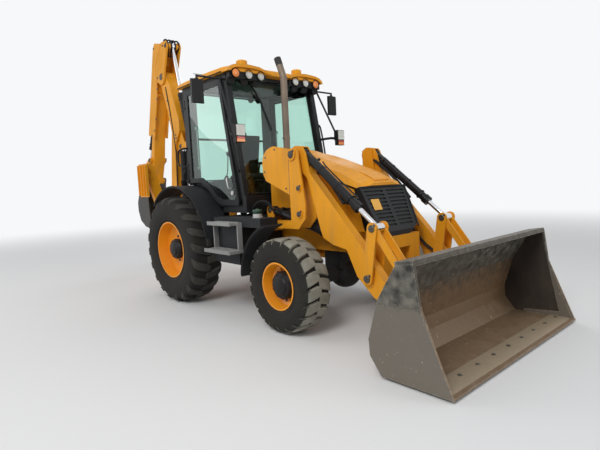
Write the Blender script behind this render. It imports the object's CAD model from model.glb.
"""Dressing of a backhoe loader: finishes, tyres, hoses, pins, cab fittings and the studio."""
import math

import bpy
import numpy as np
from mathutils import Matrix, Vector


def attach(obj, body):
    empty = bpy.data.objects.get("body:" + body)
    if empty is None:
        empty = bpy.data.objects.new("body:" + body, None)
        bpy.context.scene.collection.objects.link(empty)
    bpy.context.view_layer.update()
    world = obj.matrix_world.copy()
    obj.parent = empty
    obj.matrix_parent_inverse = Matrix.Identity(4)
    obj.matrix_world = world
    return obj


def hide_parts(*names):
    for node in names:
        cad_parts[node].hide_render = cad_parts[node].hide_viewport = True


bl_info = {
    "name": "Backhoe Loader Dressing",
    "version": (1, 0, 0),
    "blender": (4, 5, 0),
    "location": "View3D > Sidebar > Loader",
    "description": "Finishes, tyres, hoses and fittings of a backhoe loader",
    "category": "Object",
}

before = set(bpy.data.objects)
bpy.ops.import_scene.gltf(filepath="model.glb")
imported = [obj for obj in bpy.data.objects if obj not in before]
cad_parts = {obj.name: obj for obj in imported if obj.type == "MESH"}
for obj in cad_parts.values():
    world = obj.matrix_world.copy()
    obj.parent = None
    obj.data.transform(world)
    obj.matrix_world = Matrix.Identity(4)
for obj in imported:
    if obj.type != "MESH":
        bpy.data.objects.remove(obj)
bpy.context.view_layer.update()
MIDDLE = 0.555          # the frame's origin, ahead of the rear axle
SIDES = (("left", 1.0), ("right", -1.0))
# x and z of the wheels' centres, and half the track
FRONT_WHEEL, FRONT_TRACK = (2.170, 0.490), 0.870
REAR_WHEEL, REAR_TRACK = (0.0, 0.710), 0.905


# Mesh making: every part is a pair of an array of points and a list of faces

def grid_faces(rows, cols, wrap_rows=False, wrap_cols=False, start=0):
    """Quads over a grid of rows x cols points, closed round either way if asked."""
    r = np.arange(rows if wrap_rows else rows - 1)
    c = np.arange(cols if wrap_cols else cols - 1)
    i, j = np.meshgrid(r, c, indexing="ij")
    a, b = i * cols + j, i * cols + (j + 1) % cols
    d, e = ((i + 1) % rows) * cols + j, ((i + 1) % rows) * cols + (j + 1) % cols
    return (np.stack([a, b, e, d], -1).reshape(-1, 4) + start).tolist()


def capped(rings):
    """Closed skin over rings of points, with a flat face on the first and on the last ring."""
    m, n = rings.shape[:2]
    faces = grid_faces(m, n, wrap_cols=True)
    faces += [list(range(n))[::-1], list(range((m - 1) * n, m * n))]
    return rings.reshape(-1, 3), faces


def lathe(profile, centre, axis=(0, 1, 0), turns=48):
    """Surface of revolution: each (along, radius) point is carried round the axis.
    Ends with a radius of zero close to a single pole."""
    prof = np.array(profile, float)
    ax = Vector(axis).normalized()
    side = ax.orthogonal().normalized()
    up = ax.cross(side)
    ax, side, up = (np.array(v) for v in (ax, side, up))
    t = np.arange(turns) * 2 * math.pi / turns
    ring = np.cos(t)[:, None] * side + np.sin(t)[:, None] * up
    body = prof[prof[:, 1] > 1e-7]
    pts = (np.array(centre)[None, None] + body[:, 0][:, None, None] * ax
           + body[:, 1][:, None, None] * ring[None])
    verts = pts.reshape(-1, 3)
    n = len(body)
    closed = prof[0, 1] > 1e-7 and prof[-1, 1] > 1e-7
    faces = grid_faces(n, turns, wrap_rows=closed, wrap_cols=True)
    if not closed:
        low, high = len(verts), len(verts) + 1
        verts = np.vstack([verts, np.array(centre) + prof[0, 0] * ax,
                           np.array(centre) + prof[-1, 0] * ax])
        faces += [[low, (k + 1) % turns, k] for k in range(turns)]
        last = (n - 1) * turns
        faces += [[high, last + k, last + (k + 1) % turns] for k in range(turns)]
    return verts, faces


def band(start, stop, inner, outer):
    """Profile of a plain ring or disc for a lathe, between two places along its axis."""
    return [(start, inner), (start, outer), (stop, outer), (stop, inner)]


def smooth_path(points, steps=6):
    """Catmull-Rom curve through the points, so a hose bends without corners."""
    p = np.array(points, float)
    p = np.vstack([2 * p[0] - p[1], p, 2 * p[-1] - p[-2]])
    t = np.linspace(0, 1, steps, endpoint=False)[:, None]
    out = []
    for a, b, c, d in zip(p[:-3], p[1:-2], p[2:-1], p[3:]):
        out.append(0.5 * (2 * b + (c - a) * t + (2 * a - 5 * b + 4 * c - d) * t ** 2
                          + (3 * b - a - 3 * c + d) * t ** 3))
    return np.vstack(out + [p[-2][None]])


def tube(points, radius, sides=10, steps=6):
    """Round tube along a smooth path, its rings turned with the path, with flat ends."""
    path = smooth_path(points, steps) if steps else np.array(points, float)
    along = np.gradient(path, axis=0)
    along /= np.linalg.norm(along, axis=1)[:, None]
    normal = np.array(Vector(along[0]).orthogonal().normalized())
    rings = []
    t = np.arange(sides) * 2 * math.pi / sides
    for p, d in zip(path, along):
        normal = normal - d * normal.dot(d)
        normal /= np.linalg.norm(normal)
        other = np.cross(d, normal)
        rings.append(p + radius * (np.cos(t)[:, None] * normal + np.sin(t)[:, None] * other))
    return capped(np.array(rings))


def slab(outline, low, high, flat="xz"):
    """Prism of a flat outline: xz outlines go from low to high along Y, yz along X, xy along Z."""
    o = np.array(outline, float)
    place = {"xz": (0, 2, 1), "yz": (1, 2, 0), "xy": (0, 1, 2)}[flat]
    area = np.sum(o[:, 0] * np.roll(o[:, 1], -1) - np.roll(o[:, 0], -1) * o[:, 1])
    if (area > 0) == (flat == "xz"):
        o = o[::-1]
    n = len(o)
    verts = np.zeros((2 * n, 3))
    for k, level in enumerate((low, high)):
        verts[k * n:(k + 1) * n, place[0]] = o[:, 0]
        verts[k * n:(k + 1) * n, place[1]] = o[:, 1]
        verts[k * n:(k + 1) * n, place[2]] = level
    faces = [[k, (k + 1) % n, n + (k + 1) % n, n + k] for k in range(n)]
    faces += [list(range(n))[::-1], list(range(n, 2 * n))]
    return verts, faces


def block(low, high):
    """Box between two corners."""
    (x0, y0, z0), (x1, y1, z1) = low, high
    return slab([(x0, y0), (x1, y0), (x1, y1), (x0, y1)], z0, z1, flat="xy")


def bolt(centre, axis, radius, height):
    """Washer with a six-sided head on it, standing on a face along the axis."""
    washer = lathe(band(0, height * 0.25, 0, radius * 1.5), centre, axis, 16)
    head = lathe([(0, 0), (0, radius), (height * 0.85, radius), (height, radius * 0.8),
                  (height, 0)], centre, axis, 6)
    return join([washer, head])


def moved(part, shift, turn=None):
    """The same part, turned by a matrix if one is given, then shifted."""
    verts, faces = part
    if turn is not None:
        verts = verts @ np.array(turn.to_3x3()).T
    return verts + np.array(shift), faces


def join(parts):
    """All parts as one pair of points and faces."""
    verts, faces, count = [], [], 0
    for v, f in parts:
        verts.append(v)
        faces += [[k + count for k in face] for face in f]
        count += len(v)
    return np.vstack(verts), faces


def at(x, z, y=0.0):
    """A side-view point, x from the rear axle, in the frame's metres."""
    return (x - MIDDLE, y, z)


def side_slab(outline, low, high):
    """Prism of side-view points, x from the rear axle, between two values of Y."""
    return slab([(x - MIDDLE, z) for x, z in outline], low, high)


def cross_slab(outline, back, front):
    """Prism of (y, z) points between two values of x from the rear axle."""
    return slab(outline, back - MIDDLE, front - MIDDLE, "yz")


def put(name, parts, material, body, bevel=0.0, sharp=35, segments=2):
    """One object from the parts, with soft edges, its finish and the body it rides on."""
    verts, faces = join(parts)
    mesh = bpy.data.meshes.new(name)
    mesh.from_pydata(np.round(verts, 6).tolist(), [], faces)
    mesh.validate()
    mesh.shade_smooth()
    mesh.set_sharp_from_angle(angle=math.radians(sharp))
    piece = bpy.data.objects.new(name, mesh)
    bpy.context.scene.collection.objects.link(piece)
    mesh.materials.append(FINISHES[material])
    if bevel:
        edge = piece.modifiers.new("soft_edges", "BEVEL")
        edge.width, edge.segments = bevel, segments
        edge.limit_method, edge.angle_limit = "ANGLE", math.radians(40)
        edge.harden_normals = False
    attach(piece, body)
    return piece


# Finishes

FINISHES = {}


class Net:
    """Shorthand for adding and wiring the nodes of one tree."""

    def __init__(self, tree):
        self.nodes, self.links = tree.nodes, tree.links

    def add(self, kind, inputs=(), output=0, **settings):
        """A new node with its settings, each input a value or a socket; gives one output."""
        node = self.nodes.new("ShaderNode" + kind)
        for label, value in settings.items():
            setattr(node, label, value)
        for label, value in dict(inputs).items():
            self.feed(value, node.inputs[label])
        return node.outputs[output]

    def feed(self, value, socket):
        """A socket's link or its plain value."""
        if isinstance(value, bpy.types.NodeSocket):
            self.links.new(value, socket)
        else:
            socket.default_value = value

    def maths(self, kind, *values, clamp=False):
        return self.add("Math", enumerate(values), "Value", operation=kind, use_clamp=clamp)

    def ramp(self, value, low, high, low_out=0.0, high_out=1.0):
        return self.add("MapRange", {"Value": value, "From Min": low, "From Max": high,
                                     "To Min": low_out, "To Max": high_out}, "Result")

    def axis(self, vector, name):
        return self.add("SeparateXYZ", {"Vector": vector}, name)


def weathering_group():
    """Node group: broad colour variation, dust on upward and low faces, chips and a fine bump."""
    group = bpy.data.node_groups.new("weathering", "ShaderNodeTree")
    face = group.interface
    for label, value in (("Patch Size", 2.0), ("Grain Size", 60.0), ("Dust Height", 1.2)):
        face.new_socket(label, in_out="INPUT", socket_type="NodeSocketFloat").default_value = value
    for label in ("Variation", "Dust", "Chips", "Edges", "Streaks", "Height"):
        face.new_socket(label, in_out="OUTPUT", socket_type="NodeSocketFloat")
    net = Net(group)
    given = group.nodes.new("NodeGroupInput").outputs
    out = group.nodes.new("NodeGroupOutput")
    spot = net.add("TexCoord", output="Object")
    facing = net.add("NewGeometry", output="Normal")

    def noise(scale, detail, rough):
        return net.add("TexNoise", {"Scale": scale, "Detail": detail, "Roughness": rough,
                                    "Vector": spot}, "Fac")

    patches = noise(given["Patch Size"], 5.0, 0.55)
    grain = noise(given["Grain Size"], 3.0, 0.7)
    speck = noise(23.0, 6.0, 0.75)
    facing_up = net.ramp(net.axis(facing, "Z"), 0.25, 1.0, 0.0, 0.55)
    height = net.maths("DIVIDE", net.axis(spot, "Z"), given["Dust Height"])
    low_down = net.ramp(height, 0.0, 1.0, 0.55, 0.0)
    dust = net.maths("MULTIPLY", net.maths("ADD", facing_up, low_down),
                     net.ramp(patches, 0.3, 0.7, 0.35, 1.0))
    # an edge is where the softened normal leaves the true one
    soft = net.add("Bevel", {"Radius": 0.006}, "Normal", samples=4)
    rim = net.ramp(net.add("VectorMath", {0: soft, 1: facing}, "Value", operation="DOT_PRODUCT"),
                   0.999, 0.90)
    # streaks are a noise drawn out along Z
    drawn = net.add("Mapping", {"Scale": (14.0, 14.0, 1.3), "Vector": spot}, "Vector")
    runs = net.add("TexNoise", {"Scale": 1.0, "Detail": 4.0, "Vector": drawn}, "Fac")
    for label, value in (
            ("Variation", net.ramp(patches, 0.32, 0.68)),
            ("Dust", net.maths("MULTIPLY", dust, net.ramp(speck, 0.35, 0.6, 0.5, 1.0))),
            ("Chips", net.ramp(speck, 0.63, 0.68)),
            ("Edges", net.maths("MULTIPLY", rim, net.ramp(speck, 0.42, 0.6))),
            ("Streaks", net.ramp(runs, 0.5, 0.72)),
            ("Height", net.maths("ADD", net.maths("MULTIPLY", grain, 0.6),
                                 net.maths("MULTIPLY", patches, 0.4)))):
        net.feed(value, out.inputs[label])
    return group


def finish(name, base, second, dust_colour, wear_colour, roughness=0.5, metallic=0.0, coat=0.0,
           dust=0.5, wear=0.6, chips=0.0, streaks=0.0, bump=0.02, patch=2.0, grain=60.0,
           dust_height=1.2, specular=0.5, flank=None, below=None, hollow=None):
    """Worn surface: two tones of the base, then streaks, dust, chips and worn edges over them.
    A flank colour covers what faces along the object's own Y axis, as on a tyre's side. Below
    is a height, the base's colour under it and the softness of that ragged line. Hollow is the
    low and the high colour of what faces forward or up in the object's own axes."""
    mat = bpy.data.materials.new(name)
    mat.use_nodes = True
    net = Net(mat.node_tree)
    group = net.nodes.new("ShaderNodeGroup")
    group.node_tree = bpy.data.node_groups.get("weathering") or weathering_group()
    for label, value in (("Patch Size", patch), ("Grain Size", grain),
            ("Dust Height", dust_height)):
        group.inputs[label].default_value = value
    masks = group.outputs

    def over(factor, under, above):
        """Colour mix; 0, 6 and 7 are the Mix node's factor and its two colours, 2 its result."""
        under, above = ((*c, 1.0) if isinstance(c, tuple) else c for c in (under, above))
        return net.add("Mix", {0: factor, 6: under, 7: above}, 2, data_type="RGBA")

    colour = over(masks["Variation"], base, second)
    if below:
        level, low_colour, softness = below
        ragged = net.maths("MULTIPLY_ADD", masks["Height"], 0.35,
                           net.axis(net.add("TexCoord", output="Object"), "Z"))
        middle = level + 0.175
        colour = over(net.ramp(ragged, middle - softness, middle + softness), low_colour, colour)
    if hollow:
        normal = net.add("TexCoord", output="Normal")
        ahead = net.maths("ADD", net.axis(normal, "X"), net.axis(normal, "Z"))
        rise = net.maths("MULTIPLY_ADD", masks["Variation"], 0.25,
                         net.axis(net.add("TexCoord", output="Object"), "Z"))
        lining = over(net.ramp(rise, 0.48, 0.82), *hollow)
        colour = over(net.ramp(ahead, 0.3, 0.4), colour, lining)
    for label, amount, cover in (("Streaks", streaks, tuple(c * 0.45 for c in dust_colour)),
                                 ("Dust", dust, dust_colour), ("Chips", chips, wear_colour),
                                 ("Edges", wear, wear_colour)):
        if amount:
            share = net.maths("MULTIPLY", masks[label], amount, clamp=True)
            colour = over(share, colour, cover)
    if flank:
        turned = net.maths("ABSOLUTE", net.axis(net.add("TexCoord", output="Normal"), "Y"))
        colour = over(net.ramp(turned, 0.35, 0.62), colour, flank)
    rough = net.ramp(masks["Variation"], 0.0, 1.0, max(0.02, roughness - 0.07),
                     min(1.0, roughness + 0.13))
    shader = net.nodes["Principled BSDF"].inputs
    for label, value in (("Base Color", colour), ("Roughness", rough), ("Metallic", metallic),
                         ("Coat Weight", coat), ("Coat Roughness", 0.15),
                         ("Specular IOR Level", specular)):
        net.feed(value, shader[label])
    if bump:
        net.feed(net.add("Bump", {"Strength": 0.6, "Distance": bump, "Height": masks["Height"]},
                         "Normal"), shader["Normal"])
    FINISHES[name] = mat


def clear_finish(name, colour, roughness):
    """Plain see-through finish for glass and lenses."""
    mat = bpy.data.materials.new(name)
    mat.use_nodes = True
    shader = mat.node_tree.nodes["Principled BSDF"].inputs
    for label, value in (("Base Color", (*colour, 1.0)), ("Roughness", roughness),
                         ("Metallic", 0.0), ("Transmission Weight", 1.0), ("IOR", 1.45)):
        shader[label].default_value = value
    FINISHES[name] = mat


CLAY = (0.36, 0.31, 0.24)
GREY_DUST = (0.30, 0.28, 0.25)
BACKDROP = (0.93, 0.94, 0.95, 1.0)


def make_finishes():
    """All finishes of the machine."""
    yellow = tuple(bpy.context.scene.loader_paint.body_colour)
    finish("body_yellow", yellow, tuple(c * 0.86 for c in yellow), CLAY, (0.16, 0.13, 0.10),
           roughness=0.45, coat=0.04, dust=0.09, wear=0.6, chips=0.35, streaks=0.18, bump=0.0012,
           specular=0.22)
    finish("rim_yellow", (0.88, 0.33, 0.004), (0.80, 0.27, 0.003), CLAY, (0.30, 0.16, 0.05),
           roughness=0.38, coat=0.15, dust=0.07, wear=0.35, chips=0.1, bump=0.0008)
    finish("chassis_black", (0.009, 0.009, 0.010), (0.018, 0.017, 0.016), GREY_DUST,
        (0.12, 0.11, 0.10), roughness=0.5, dust=0.12, wear=0.35, chips=0.1, bump=0.0015,
        specular=0.22)
    finish("cab_charcoal", (0.011, 0.012, 0.013), (0.018, 0.019, 0.020), GREY_DUST,
        (0.07, 0.07, 0.065), roughness=0.45, dust=0.06, wear=0.22, bump=0.0008, specular=0.20)
    finish("fender_plastic", (0.010, 0.011, 0.013), (0.019, 0.021, 0.024), GREY_DUST,
        (0.06, 0.06, 0.06), roughness=0.55, dust=0.14, wear=0.2, bump=0.0012, grain=180.0,
        specular=0.24)
    finish("engine_grey", (0.10, 0.10, 0.10), (0.06, 0.06, 0.06), GREY_DUST, (0.2, 0.19, 0.18),
           roughness=0.6, dust=0.6, wear=0.3, bump=0.003)
    finish("step_steel", (0.20, 0.20, 0.195), (0.30, 0.30, 0.29), GREY_DUST, (0.5, 0.5, 0.5),
           roughness=0.6, metallic=0.3, dust=0.45, wear=0.5, bump=0.002)
    finish("exhaust_brown", (0.20, 0.155, 0.115), (0.13, 0.10, 0.08), (0.25, 0.16, 0.09),
        (0.30, 0.22, 0.15), roughness=0.55, metallic=0.5, dust=0.4, wear=0.3, chips=0.4,
        streaks=0.5, bump=0.002)
    finish("exhaust_tip", (0.02, 0.018, 0.017), (0.035, 0.03, 0.027), GREY_DUST, (0.1, 0.08, 0.06),
           roughness=0.7, metallic=0.3, dust=0.2, wear=0.2, bump=0.002)
    finish("bucket_outside", (0.014, 0.014, 0.013), (0.17, 0.16, 0.13), (0.34, 0.29, 0.22),
        (0.50, 0.47, 0.38), roughness=0.5, metallic=0.2, dust=0.35, wear=0.95, chips=0.9,
        streaks=0.3, bump=0.005, patch=13.0, dust_height=0.5, below=(0.59, (0.155, 0.135, 0.11),
        0.02), hollow=((0.20, 0.118, 0.058), (0.050, 0.040, 0.026)))
    finish("bucket_inside", (0.035, 0.026, 0.016), (0.085, 0.060, 0.034), (0.32, 0.23, 0.14),
           (0.34, 0.28, 0.22), roughness=0.7, metallic=0.1, dust=0.8, wear=0.5, chips=0.5,
           streaks=0.4, bump=0.006, patch=2.6, grain=30.0, dust_height=0.62,
           below=(0.50, (0.20, 0.105, 0.05), 0.12))
    finish("bucket_cheek", (0.012, 0.010, 0.008), (0.040, 0.028, 0.020), (0.14, 0.11, 0.08),
           (0.30, 0.25, 0.18), roughness=0.6, metallic=0.1, dust=0.4, wear=0.5, chips=0.3,
           streaks=0.3, bump=0.005, patch=3.0, grain=30.0, dust_height=0.5)
    finish("edge_tan", (0.47, 0.37, 0.24), (0.32, 0.24, 0.16), (0.40, 0.33, 0.25),
        (0.5, 0.48, 0.45), roughness=0.5, metallic=0.5, dust=0.6, wear=0.8, chips=0.4, bump=0.004)
    finish("hoe_bucket_dark", (0.045, 0.042, 0.040), (0.09, 0.085, 0.08), (0.25, 0.21, 0.16),
        (0.3, 0.28, 0.26), roughness=0.5, metallic=0.6, dust=0.5, wear=0.7, chips=0.4, bump=0.004)
    finish("rod_chrome", (0.72, 0.72, 0.74), (0.62, 0.62, 0.64), GREY_DUST, (0.5, 0.5, 0.5),
           roughness=0.12, metallic=1.0, dust=0.12, wear=0.1, bump=0.0)
    finish("pin_steel", (0.12, 0.105, 0.09), (0.07, 0.06, 0.055), GREY_DUST, (0.35, 0.33, 0.30),
           roughness=0.45, metallic=0.8, dust=0.35, wear=0.6, chips=0.2, bump=0.0015)
    finish("ram_black", (0.008, 0.008, 0.009), (0.015, 0.014, 0.014), GREY_DUST,
        (0.09, 0.08, 0.07), roughness=0.40, dust=0.05, wear=0.3, bump=0.0008, specular=0.20)
    finish("hose_rubber", (0.007, 0.007, 0.008), (0.013, 0.013, 0.013), GREY_DUST,
        (0.05, 0.05, 0.05), roughness=0.55, dust=0.06, wear=0.0, bump=0.001, grain=250.0,
        specular=0.2)
    finish("tyre_side", (0.011, 0.011, 0.010), (0.024, 0.021, 0.017), (0.12, 0.105, 0.085),
           (0.05, 0.05, 0.05), roughness=0.8, dust=0.22, wear=0.0, bump=0.004, patch=4.0,
           grain=140.0, dust_height=1.2, specular=0.25)
    finish("tread_dusty", (0.19, 0.185, 0.15), (0.30, 0.295, 0.245), (0.36, 0.35, 0.30),
           (0.30, 0.29, 0.25), roughness=0.9, dust=0.6, wear=0.4, chips=0.3, bump=0.006, patch=7.0,
           grain=90.0, specular=0.2, flank=(0.026, 0.026, 0.022))
    finish("tread_dark", (0.024, 0.024, 0.021), (0.055, 0.053, 0.046), (0.14, 0.13, 0.11),
           (0.16, 0.15, 0.13), roughness=0.85, dust=0.35, wear=0.45, bump=0.005, patch=6.0,
           grain=90.0, specular=0.25)
    finish("control_black", (0.009, 0.009, 0.010), (0.016, 0.016, 0.017), GREY_DUST,
        (0.05, 0.05, 0.05), roughness=0.5, dust=0.05, wear=0.1, bump=0.0008, specular=0.2)
    finish("seat_fabric", (0.016, 0.017, 0.019), (0.028, 0.029, 0.031), GREY_DUST,
        (0.06, 0.06, 0.06), roughness=0.9, dust=0.25, wear=0.0, bump=0.002, grain=400.0)
    finish("lining_grey", (0.15, 0.145, 0.13), (0.11, 0.105, 0.095), GREY_DUST, (0.2, 0.2, 0.2),
           roughness=0.85, dust=0.1, wear=0.0, bump=0.001, grain=300.0, specular=0.2)
    finish("lamp_reflector", (0.88, 0.87, 0.80), (0.80, 0.79, 0.72), GREY_DUST, (0.8, 0.8, 0.8),
           roughness=0.55, metallic=1.0, dust=0.05, wear=0.0, bump=0.0)
    finish("lens_amber", (0.85, 0.26, 0.02), (0.78, 0.20, 0.015), CLAY, (0.8, 0.4, 0.1),
           roughness=0.16, coat=0.6, dust=0.1, wear=0.0, bump=0.0)
    finish("lens_red", (0.50, 0.03, 0.015), (0.42, 0.02, 0.012), CLAY, (0.5, 0.1, 0.1),
           roughness=0.16, coat=0.6, dust=0.1, wear=0.0, bump=0.0)
    finish("beacon_yellow", (0.85, 0.42, 0.02), (0.78, 0.36, 0.015), CLAY, (0.5, 0.3, 0.1),
           roughness=0.3, coat=0.4, dust=0.2, wear=0.1, bump=0.0004)
    finish("mirror_face", (0.70, 0.72, 0.74), (0.66, 0.68, 0.70), GREY_DUST, (0.7, 0.7, 0.7),
           roughness=0.05, metallic=1.0, dust=0.05, wear=0.0, bump=0.0)
    finish("plate_pale", (0.55, 0.55, 0.52), (0.46, 0.46, 0.44), CLAY, (0.3, 0.3, 0.3),
           roughness=0.4, metallic=0.3, dust=0.3, wear=0.3, bump=0.0004)
    finish("cap_green", (0.012, 0.07, 0.035), (0.02, 0.05, 0.03), GREY_DUST, (0.1, 0.1, 0.1),
           roughness=0.45, dust=0.4, wear=0.2, bump=0.0006)
    clear_finish("window_glass", (0.66, 0.86, 0.79), 0.015)
    clear_finish("lens_clear", (0.95, 0.96, 0.96), 0.03)


# Finishes and the CAD nodes that have them
NODE_FINISH = {
    "body_yellow": ["main_frame", "rear_frame", "engine_cowls", "bonnet", "cab_roof",
                    "loader_arms", "loader_levers", "loader_links", "kingpost", "boom", "dipper",
                    "dipper_extension", "hoe_lever", "hoe_link", "stabiliser_left",
                    "stabiliser_right"],
    "rim_yellow": ["rim_front_left", "rim_front_right", "rim_rear_left", "rim_rear_right"],
    "chassis_black": ["front_axle", "rear_axle", "knuckle_left", "knuckle_right"],
    "cab_charcoal": ["cab_frame", "door_left", "door_right", "radiator_grille"],
    "fender_plastic": ["fenders", "side_tanks"],
    "engine_grey": ["engine_block"],
    "step_steel": ["steps"],
    "exhaust_brown": ["exhaust_stack"],
    "bucket_outside": ["front_bucket"],
    "hoe_bucket_dark": ["hoe_bucket"],
    "ram_black": ["lift_ram_barrels", "tilt_ram_barrels", "boom_ram_barrel", "dipper_ram_barrel",
                  "hoe_ram_barrel", "stabiliser_ram_left", "stabiliser_ram_right"],
    "rod_chrome": ["lift_ram_rods", "tilt_ram_rods", "boom_ram_rod", "dipper_ram_rod",
                   "hoe_ram_rod", "stabiliser_rod_left", "stabiliser_rod_right"],
    "window_glass": ["cab_glass", "door_glass_left", "door_glass_right"],
    "control_black": ["cab_controls"],
    "seat_fabric": ["seat"],
    "lens_amber": ["lamps"],
    "tyre_side": ["tyre_front_left", "tyre_front_right", "tyre_rear_left", "tyre_rear_right"],
}


def paint_nodes():
    """Every visible CAD node takes its finish on its own material slots."""
    for name, nodes in NODE_FINISH.items():
        for node in nodes:
            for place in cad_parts[node].material_slots:
                place.material = FINISHES[name]


# Settings

class LoaderPaint(bpy.types.PropertyGroup):
    """Colours of the machine."""
    body_colour: bpy.props.FloatVectorProperty(
        name="Body Colour", description="Paint of the bodywork, booms and arms",
        subtype="COLOR", size=3, min=0.0, max=1.0, default=(0.83, 0.345, 0.012))


class LoaderTyres(bpy.types.PropertyGroup):
    """Tread of the front and rear tyres."""
    front_lugs: bpy.props.IntProperty(name="Front Lugs",
        description="Lugs on each side of a front tyre", default=20, min=8, max=40)
    rear_lugs: bpy.props.IntProperty(name="Rear Lugs",
        description="Lugs on each side of a rear tyre", default=20, min=8, max=40)
    lug_height: bpy.props.FloatProperty(
        name="Lug Height", description="Height of a lug over the casing", default=0.030, min=0.01,
        max=0.06, unit="LENGTH")


# Operators

def seen_rays(net):
    """One for camera, glossy and transmission rays, so metal and glass show the backdrop too."""
    ray = net.nodes.new("ShaderNodeLightPath").outputs
    total = ray["Is Camera Ray"]
    for label in ("Is Glossy Ray", "Is Transmission Ray"):
        total = net.maths("ADD", total, ray[label], clamp=True)
    return total


class LOADER_OT_stage(bpy.types.Operator):
    """Camera at the photograph's viewpoint, pale floor and backdrop, and soft lamps"""
    bl_idname = "loader.stage"
    bl_label = "Studio"

    # name, place, width, watts
    LAMPS = [("key", (5.0, -7.5, 7.5), 4.0, 470.0), ("fill", (-6.5, -7.0, 5.0), 6.0, 150.0),
             ("front", (9.0, 3.0, 4.0), 5.0, 120.0), ("back", (-7.0, 7.0, 6.0), 6.0, 200.0),
             ("top", (0.0, 0.0, 9.0), 7.0, 60.0)]
    # turn about Z, dip and roll in degrees, then the picture's focal length and width in pixels
    VIEW = (48.368, 5.223, -2.7046)
    FOCAL, PICTURE, SENSOR = 456.92, 600, 36.0

    def execute(self, context):
        yaw, pitch, roll = (math.radians(a) for a in self.VIEW)
        ahead = Vector((-math.sin(yaw) * math.cos(pitch), math.cos(yaw) * math.cos(pitch),
                        -math.sin(pitch)))
        right = Vector((math.cos(yaw), math.sin(yaw), 0))
        up = right.cross(ahead)
        turned_right = math.cos(roll) * right + math.sin(roll) * up
        turned_up = -math.sin(roll) * right + math.cos(roll) * up
        data = bpy.data.cameras.new("camera")
        data.sensor_width, data.lens = self.SENSOR, self.FOCAL / self.PICTURE * self.SENSOR
        camera = bpy.data.objects.new("camera", data)
        turn = Matrix((turned_right, turned_up, -ahead)).transposed().to_4x4()
        camera.matrix_world = Matrix.Translation(at(5.738, 1.520, -3.837)) @ turn
        context.scene.collection.objects.link(camera)
        context.scene.camera = camera
        context.scene.view_settings.view_transform = "Standard"
        self.floor(context)
        self.world(context)
        for name, spot, size, power in self.LAMPS:
            lamp = bpy.data.lights.new(name, "AREA")
            lamp.shape, lamp.size, lamp.energy = "DISK", size, power
            holder = bpy.data.objects.new(name, lamp)
            holder.location = spot
            aim = Vector((0.3, 0.0, 1.0)) - Vector(spot)
            holder.rotation_euler = aim.to_track_quat("-Z", "Y").to_euler()
            # or the lamp itself shows through the windows
            holder.visible_transmission = False
            context.scene.collection.objects.link(holder)
        return {"FINISHED"}

    @staticmethod
    def floor(context):
        """Round floor that fades into the white backdrop where it is seen."""
        verts, faces = lathe(band(-0.02, -0.001, 0, 60.0),
                             (0, 0, 0), (0, 0, 1), 96)
        mesh = bpy.data.meshes.new("floor")
        mesh.from_pydata(verts.tolist(), [], faces)
        floor = bpy.data.objects.new("floor", mesh)
        context.scene.collection.objects.link(floor)
        mat = bpy.data.materials.new("floor_pale")
        mat.use_nodes = True
        net = Net(mat.node_tree)
        shader = net.nodes["Principled BSDF"]
        shader.inputs["Base Color"].default_value = (0.80, 0.80, 0.79, 1.0)
        shader.inputs["Roughness"].default_value = 0.85
        far = net.add("VectorMath", {0: net.add("TexCoord", output="Object")}, "Value",
                      operation="LENGTH")
        fade = net.add("MapRange", {"Value": far, "From Min": 5.5, "From Max": 17.0}, "Result",
                       interpolation_type="SMOOTHSTEP")
        pale = net.add("Emission", {"Color": BACKDROP}, "Emission")
        mix = net.add("MixShader", {0: net.maths("MULTIPLY", fade, seen_rays(net)),
                                    1: shader.outputs["BSDF"], 2: pale}, "Shader")
        net.feed(mix, net.nodes["Material Output"].inputs["Surface"])
        mesh.materials.append(mat)

    @staticmethod
    def world(context):
        """Soft world light, plain white where it is seen, also through glass."""
        world = bpy.data.worlds.new("studio")
        context.scene.world = world
        world.use_nodes = True
        net = Net(world.node_tree)
        glow = net.nodes["Background"]
        glow.inputs["Color"].default_value = (0.93, 0.95, 1.0, 1.0)
        glow.inputs["Strength"].default_value = 0.42
        white = net.add("Background", {"Color": BACKDROP}, "Background")
        mix = net.add("MixShader", {0: seen_rays(net), 1: glow.outputs["Background"], 2: white},
                      "Shader")
        net.feed(mix, net.nodes["World Output"].inputs["Surface"])


class LOADER_OT_finishes(bpy.types.Operator):
    """Paint, steel, rubber and glass on the CAD nodes"""
    bl_idname = "loader.finishes"
    bl_label = "Finishes"

    def execute(self, context):
        make_finishes()
        paint_nodes()
        return {"FINISHED"}


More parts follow.
